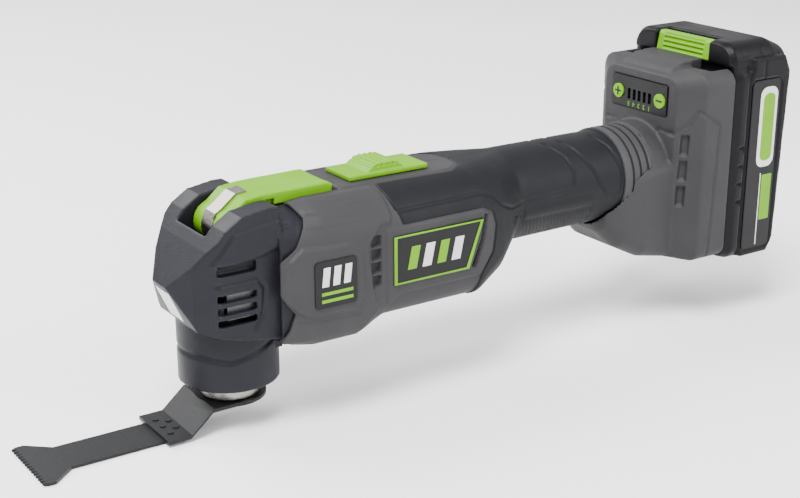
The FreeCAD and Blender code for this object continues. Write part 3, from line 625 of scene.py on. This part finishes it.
def plate_mark(name, outline, axis, low, high, material, body, slot):
    """A flat piece with crisp edges, such as a printed mark."""
    piece = show(prism(name, axis, outline, low, high), material, body)
    piece.data.polygons.foreach_set("use_smooth", [False] * len(piece.data.polygons))


def figure(name, text, size, place, material, body):
    """A digit standing 0.15 mm proud of the panel that faces the head."""
    curve = bpy.data.curves.new(name, "FONT")
    curve.body = text
    curve.size = size * MM
    curve.extrude = 0.075 * MM
    curve.align_x = "CENTER"
    curve.align_y = "CENTER"
    obj = bpy.data.objects.new(name, curve)
    obj.rotation_euler = (math.pi / 2, math.pi, -math.pi / 2)
    obj.location = Vector(place) * MM
    bpy.context.scene.collection.objects.link(obj)
    bpy.context.view_layer.update()
    mesh = bpy.data.meshes.new_from_object(obj.evaluated_get(bpy.context.evaluated_depsgraph_get()))
    mesh.transform(obj.matrix_world)
    result = bpy.data.objects.new(name + "_mesh", mesh)
    bpy.context.scene.collection.objects.link(result)
    bpy.data.objects.remove(obj)
    show(result, material, body)


def make_panel_marks(mats):
    face, button = 215.0, 214.3
    for i, digit in enumerate("12345"):
        y = (i - 2) * 3.4
        place = (face - 0.05, y, 88.4)
        figure("speed_digit_" + digit, digit, 3.0, place, mats["lime"], "housing")
    bars = {"plus_key": (13.7, True), "minus_key": (-13.7, False)}
    for body, (y, upright) in bars.items():
        flat = [(y - 2.0, 93.0), (y + 2.0, 93.0), (y + 2.0, 93.8), (y - 2.0, 93.8)]
        plate_mark(body + "_bar", flat, "x", button - 0.12, button + 0.05, mats["film"], body, "label_film")
        if upright:
            tall = [(y - 0.4, 91.4), (y + 0.4, 91.4), (y + 0.4, 95.4), (y - 0.4, 95.4)]
            plate_mark(body + "_upright", tall, "x", button - 0.13, button + 0.05, mats["film"], body,
                       "label_film")


# ---- battery ---------------------------------------------------------------------------------

LABEL_BED = [(251.8, 22), (254, 19.8), (268, 19.8), (271, 22), (271.6, 99), (268.6, 102.2),
             (254, 102.2), (251.8, 100)]


def pack_relief(x, y, z, normal):
    side = np.abs(normal[:, 1]) > 0.6
    h = groove(x, z, [(250.6, 12), (250.6, 108)], 1.1, 0.7) * side
    for z0 in (44, 52.5, 61, 69.5):
        notch = [(246.0, z0), (249.0, z0), (249.0, z0 + 1.8), (246.0, z0 + 1.8)]
        h = h - raised(x, z, notch, 1.2, 0.35) * side
    h = h - raised(x, z, LABEL_BED, 0.7, 0.3) * side * (np.abs(y) > 33)
    seam = groove(x, z, [(259.5, 119.5), (259.5, 102)], 0.5, 0.5) * side
    return h + seam


def make_battery(mats):
    core = [slab("pack_core", (245.5, 270), (-31, 31), (21, 104)),
            slab("block_core", (252, 268), (-27, 27), (95, 115))]
    for side in (-1, 1):
        cheek = [(252, 17.4), (270, 17.4), (273.4, 24), (276.2, 104), (272.5, 111.8), (252.6, 111.8)]
        edge = sorted((side * 30.0, side * 34.9))
        core.append(slab("shoulder_core", (244.5, 268), sorted((side * 19.0, side * 32.4)), (100, 112.4)))
        core.append(prism("cheek", "y", cheek, edge[0], edge[1]))
    pack = moulding("pack_moulding", ["battery_case_front", "battery_case_rear"], core, [], 0.73, 3)
    sculpt(pack, pack_relief)
    show(pack, mats["pack"], "battery", ("battery_case_front", "battery_case_rear"))


def latch_relief(x, y, z, normal):
    front = (normal[:, 0] < -0.6) & (np.abs(y) < 13)
    return np.where(front, 0.45 * np.cos(2 * np.pi * (z - 110.2) / 2.2) - 0.3, 0.0) * (z < 118)


def make_latch(mats):
    latch = moulding("latch_moulding", ["battery_latch"], [], [], 0.3, 4)
    sculpt(latch, latch_relief)
    show(latch, mats["green"], "latch", ("battery_latch",))


def capsule(x0, x1, z0, z1, r=2.5):
    points = []
    corners = ((x1 - r, z0 + r, 270), (x1 - r, z1 - r, 0), (x0 + r, z1 - r, 90), (x0 + r, z0 + r, 180))
    for cx, cz, start in corners:
        for step in range(7):
            a = math.radians(start + 15 * step)
            points.append((cx + r * math.cos(a), cz + r * math.sin(a)))
    return points


def make_labels(mats):
    for side, word in ((-1, "left"), (1, "right")):
        def depth(a, b):
            return sorted((side * a, side * b))
        plate_mark("pack_film_" + word, capsule(252.6, 270.4, 20.6, 101.4, 2.5), "y", *depth(34.0, 34.65),
                   mats["film"], "battery", "label_film")
        plate_mark("pack_white_" + word, capsule(258, 269, 60, 98, 4), "y", *depth(34.2, 34.8),
                   mats["white"], "battery", "label_film")
        plate_mark("pack_green_" + word, capsule(260, 267.4, 63, 95, 3), "y", *depth(34.2, 34.9),
                   mats["lime"], "battery", "label_film")
        plate_mark("pack_block_" + word, capsule(262.6, 269, 34, 56, 0.6), "y", *depth(34.2, 34.8),
                   mats["lime"], "battery", "label_film")
        plate_mark("pack_line_" + word, capsule(261.4, 261.9, 22, 57, 0.2), "y", *depth(34.2, 34.8),
                   mats["white"], "battery", "label_film")


def border(name, outline, width, y0, y1, material, body):
    """A flat frame along an outline."""
    centre = np.mean(np.array(outline), axis=0)
    inner = [tuple(centre + (np.array(p) - centre) * (1 - width / np.linalg.norm(np.array(p) - centre)))
             for p in outline]
    n = len(outline)
    points = []
    for y in (y0, y1):
        points += [(x * MM, y * MM, z * MM) for x, z in outline + inner]
    faces = []
    for i in range(n):
        j = (i + 1) % n
        faces += [(i, j, n + j, n + i), (2 * n + i, 3 * n + i, 3 * n + j, 2 * n + j),
                  (i, 2 * n + i, 2 * n + j, j), (n + i, n + j, 3 * n + j, 3 * n + i)]
    frame_object = new_object(name, points, faces)
    show(frame_object, material, body)


def make_badges(mats):
    badge = [(59.6, 61.8), (103.6, 61.8), (96.6, 41.5), (59.6, 41.5)]
    border("badge_border", badge, 1.5, -30.75, -30.2, mats["lime"], "housing")
    for i in range(4):
        x = 66 + 7.2 * i
        bar = [(x, 47), (x + 4.2, 47), (x + 6.2, 56.5), (x + 2.0, 56.5)]
        ink = mats["white" if i % 2 else "lime"]
        plate_mark(f"badge_bar_{i}", bar, "y", -30.7, -30.3, ink, "housing", "label_film")
    for i in range(3):
        x = 25.2 + 4.9 * i
        bar = [(x, 48.2), (x + 3.0, 48.2), (x + 3.9, 56), (x + 0.9, 56)]
        plate_mark(f"side_bar_{i}", bar, "y", -32.15, -31.8, mats["white"], "housing", "label_film")
    for i, low in enumerate((44.6, 41.6)):
        line = [(25, low), (39.2, low), (39.2, low + 1.3), (25, low + 1.3)]
        plate_mark(f"side_line_{i}", line, "y", -32.15, -31.8, mats["lime"], "housing", "label_film")
    plate_mark("side_film", capsule(22.2, 41.2, 39.4, 58.6, 1.5), "y", -32.0, -30.2, mats["film"],
               "housing", "label_film")
    plate_mark("badge_film", badge, "y", -30.45, -29.2, mats["film"], "housing", "label_film")


# ---- CAD nodes that stay ---------------------------------------------------------------------

KEPT = {
    "ring": ["flange_ring", "lever_strap", "output_spindle"],
    "steel": ["lever_pin", "motor_shaft", "housing_screws", "battery_screws", "clamp_spring", "latch_springs",
              "cell_straps", "stator_core", "rotor_core"],
    "bolt": ["clamp_bolt", "rocker_fork", "spindle_bearing_lower", "spindle_bearing_upper", "motor_bearing_front",
             "motor_bearing_rear", "eccentric_bearing", "eccentric_collar"],
    "blade": ["blade_hub", "saw_blade"],
    "cast": ["gear_case", "heatsink"],
    "lens": ["led_lens"],
    "board": ["led_board", "controller_board", "speed_board", "battery_board"],
    "seal": ["dust_seal", "damper_mounts"],
    "grey": ["neck_ring"],
    "green": ["plus_button", "minus_button"],
    "dark": ["switch_link", "switch_module", "battery_receptacle", "terminal_block", "cell_holder", "cooling_fan"],
    "film": ["badge_plate", "side_label", "battery_labels", "speed_panel"],
    "copper": ["stator_windings", "terminal_blades", "battery_contacts"],
    "cell": ["battery_cells"],
}


def dress_kept_nodes(mats):
    for key, names in KEPT.items():
        for name in names:
            mesh = NODES[name].data
            mesh.materials.clear()
            mesh.materials.append(mats[key])


# ---- stage -----------------------------------------------------------------------------------

CAMERA_PLACE = (-0.24390, -0.48936, 0.24728)
CAMERA_AZIMUTH, CAMERA_ELEVATION, LENS = -33.71, 19.07, 66.02
FLOOR_Z, FLOOR_HALF = -0.0116, 4


def make_floor():
    half = FLOOR_HALF
    corners = [(-half, -half, FLOOR_Z), (half, -half, FLOOR_Z), (half, half, FLOOR_Z), (-half, half, FLOOR_Z)]
    floor = new_object("floor", corners, [(0, 1, 2, 3)])
    shader = Shader("pale_floor", specular=0.2)
    shader.set("Base Color", shader.ramp(shader.noise(3.0), (0.92, 0.92, 0.92), (0.96, 0.96, 0.96)))
    shader.bsdf.inputs["Roughness"].default_value = 0.7
    floor.data.materials.append(shader.material)


def make_light(name, place, size, power):
    light = bpy.data.lights.new(name, "AREA")
    light.size = size
    light.energy = power
    obj = bpy.data.objects.new(name, light)
    obj.location = place
    obj.rotation_euler = (Vector((0.1, 0, 0.05)) - Vector(place)).to_track_quat("-Z", "Y").to_euler()
    bpy.context.scene.collection.objects.link(obj)


def make_stage():
    make_floor()
    make_light("key", (-0.5, -0.4, 1.4), 0.7, 50)
    make_light("fill", (0.9, -1.1, 0.8), 1.0, 17)
    make_light("rim", (-0.3, 1.0, 1.0), 1.0, 26)
    world = bpy.data.worlds.new("studio")
    world.use_nodes = True
    world.node_tree.nodes["Background"].inputs["Color"].default_value = (1, 1, 1, 1)
    world.node_tree.nodes["Background"].inputs["Strength"].default_value = 0.95
    bpy.context.scene.world = world
    camera = bpy.data.cameras.new("camera")
    camera.lens = LENS
    camera.clip_start = 0.01
    obj = bpy.data.objects.new("camera", camera)
    obj.location = CAMERA_PLACE
    obj.rotation_euler = (math.radians(90 - CAMERA_ELEVATION), 0, math.radians(CAMERA_AZIMUTH))
    bpy.context.scene.collection.objects.link(obj)
    bpy.context.scene.camera = obj


def main():
    mats = make_materials()
    make_stage()
    dress_kept_nodes(mats)
    make_housing(mats)
    make_head(mats)
    make_lever(mats)
    make_switch(mats)
    make_foot(mats)
    make_panel_marks(mats)
    make_battery(mats)
    make_latch(mats)
    make_labels(mats)
    make_badges(mats)


main()
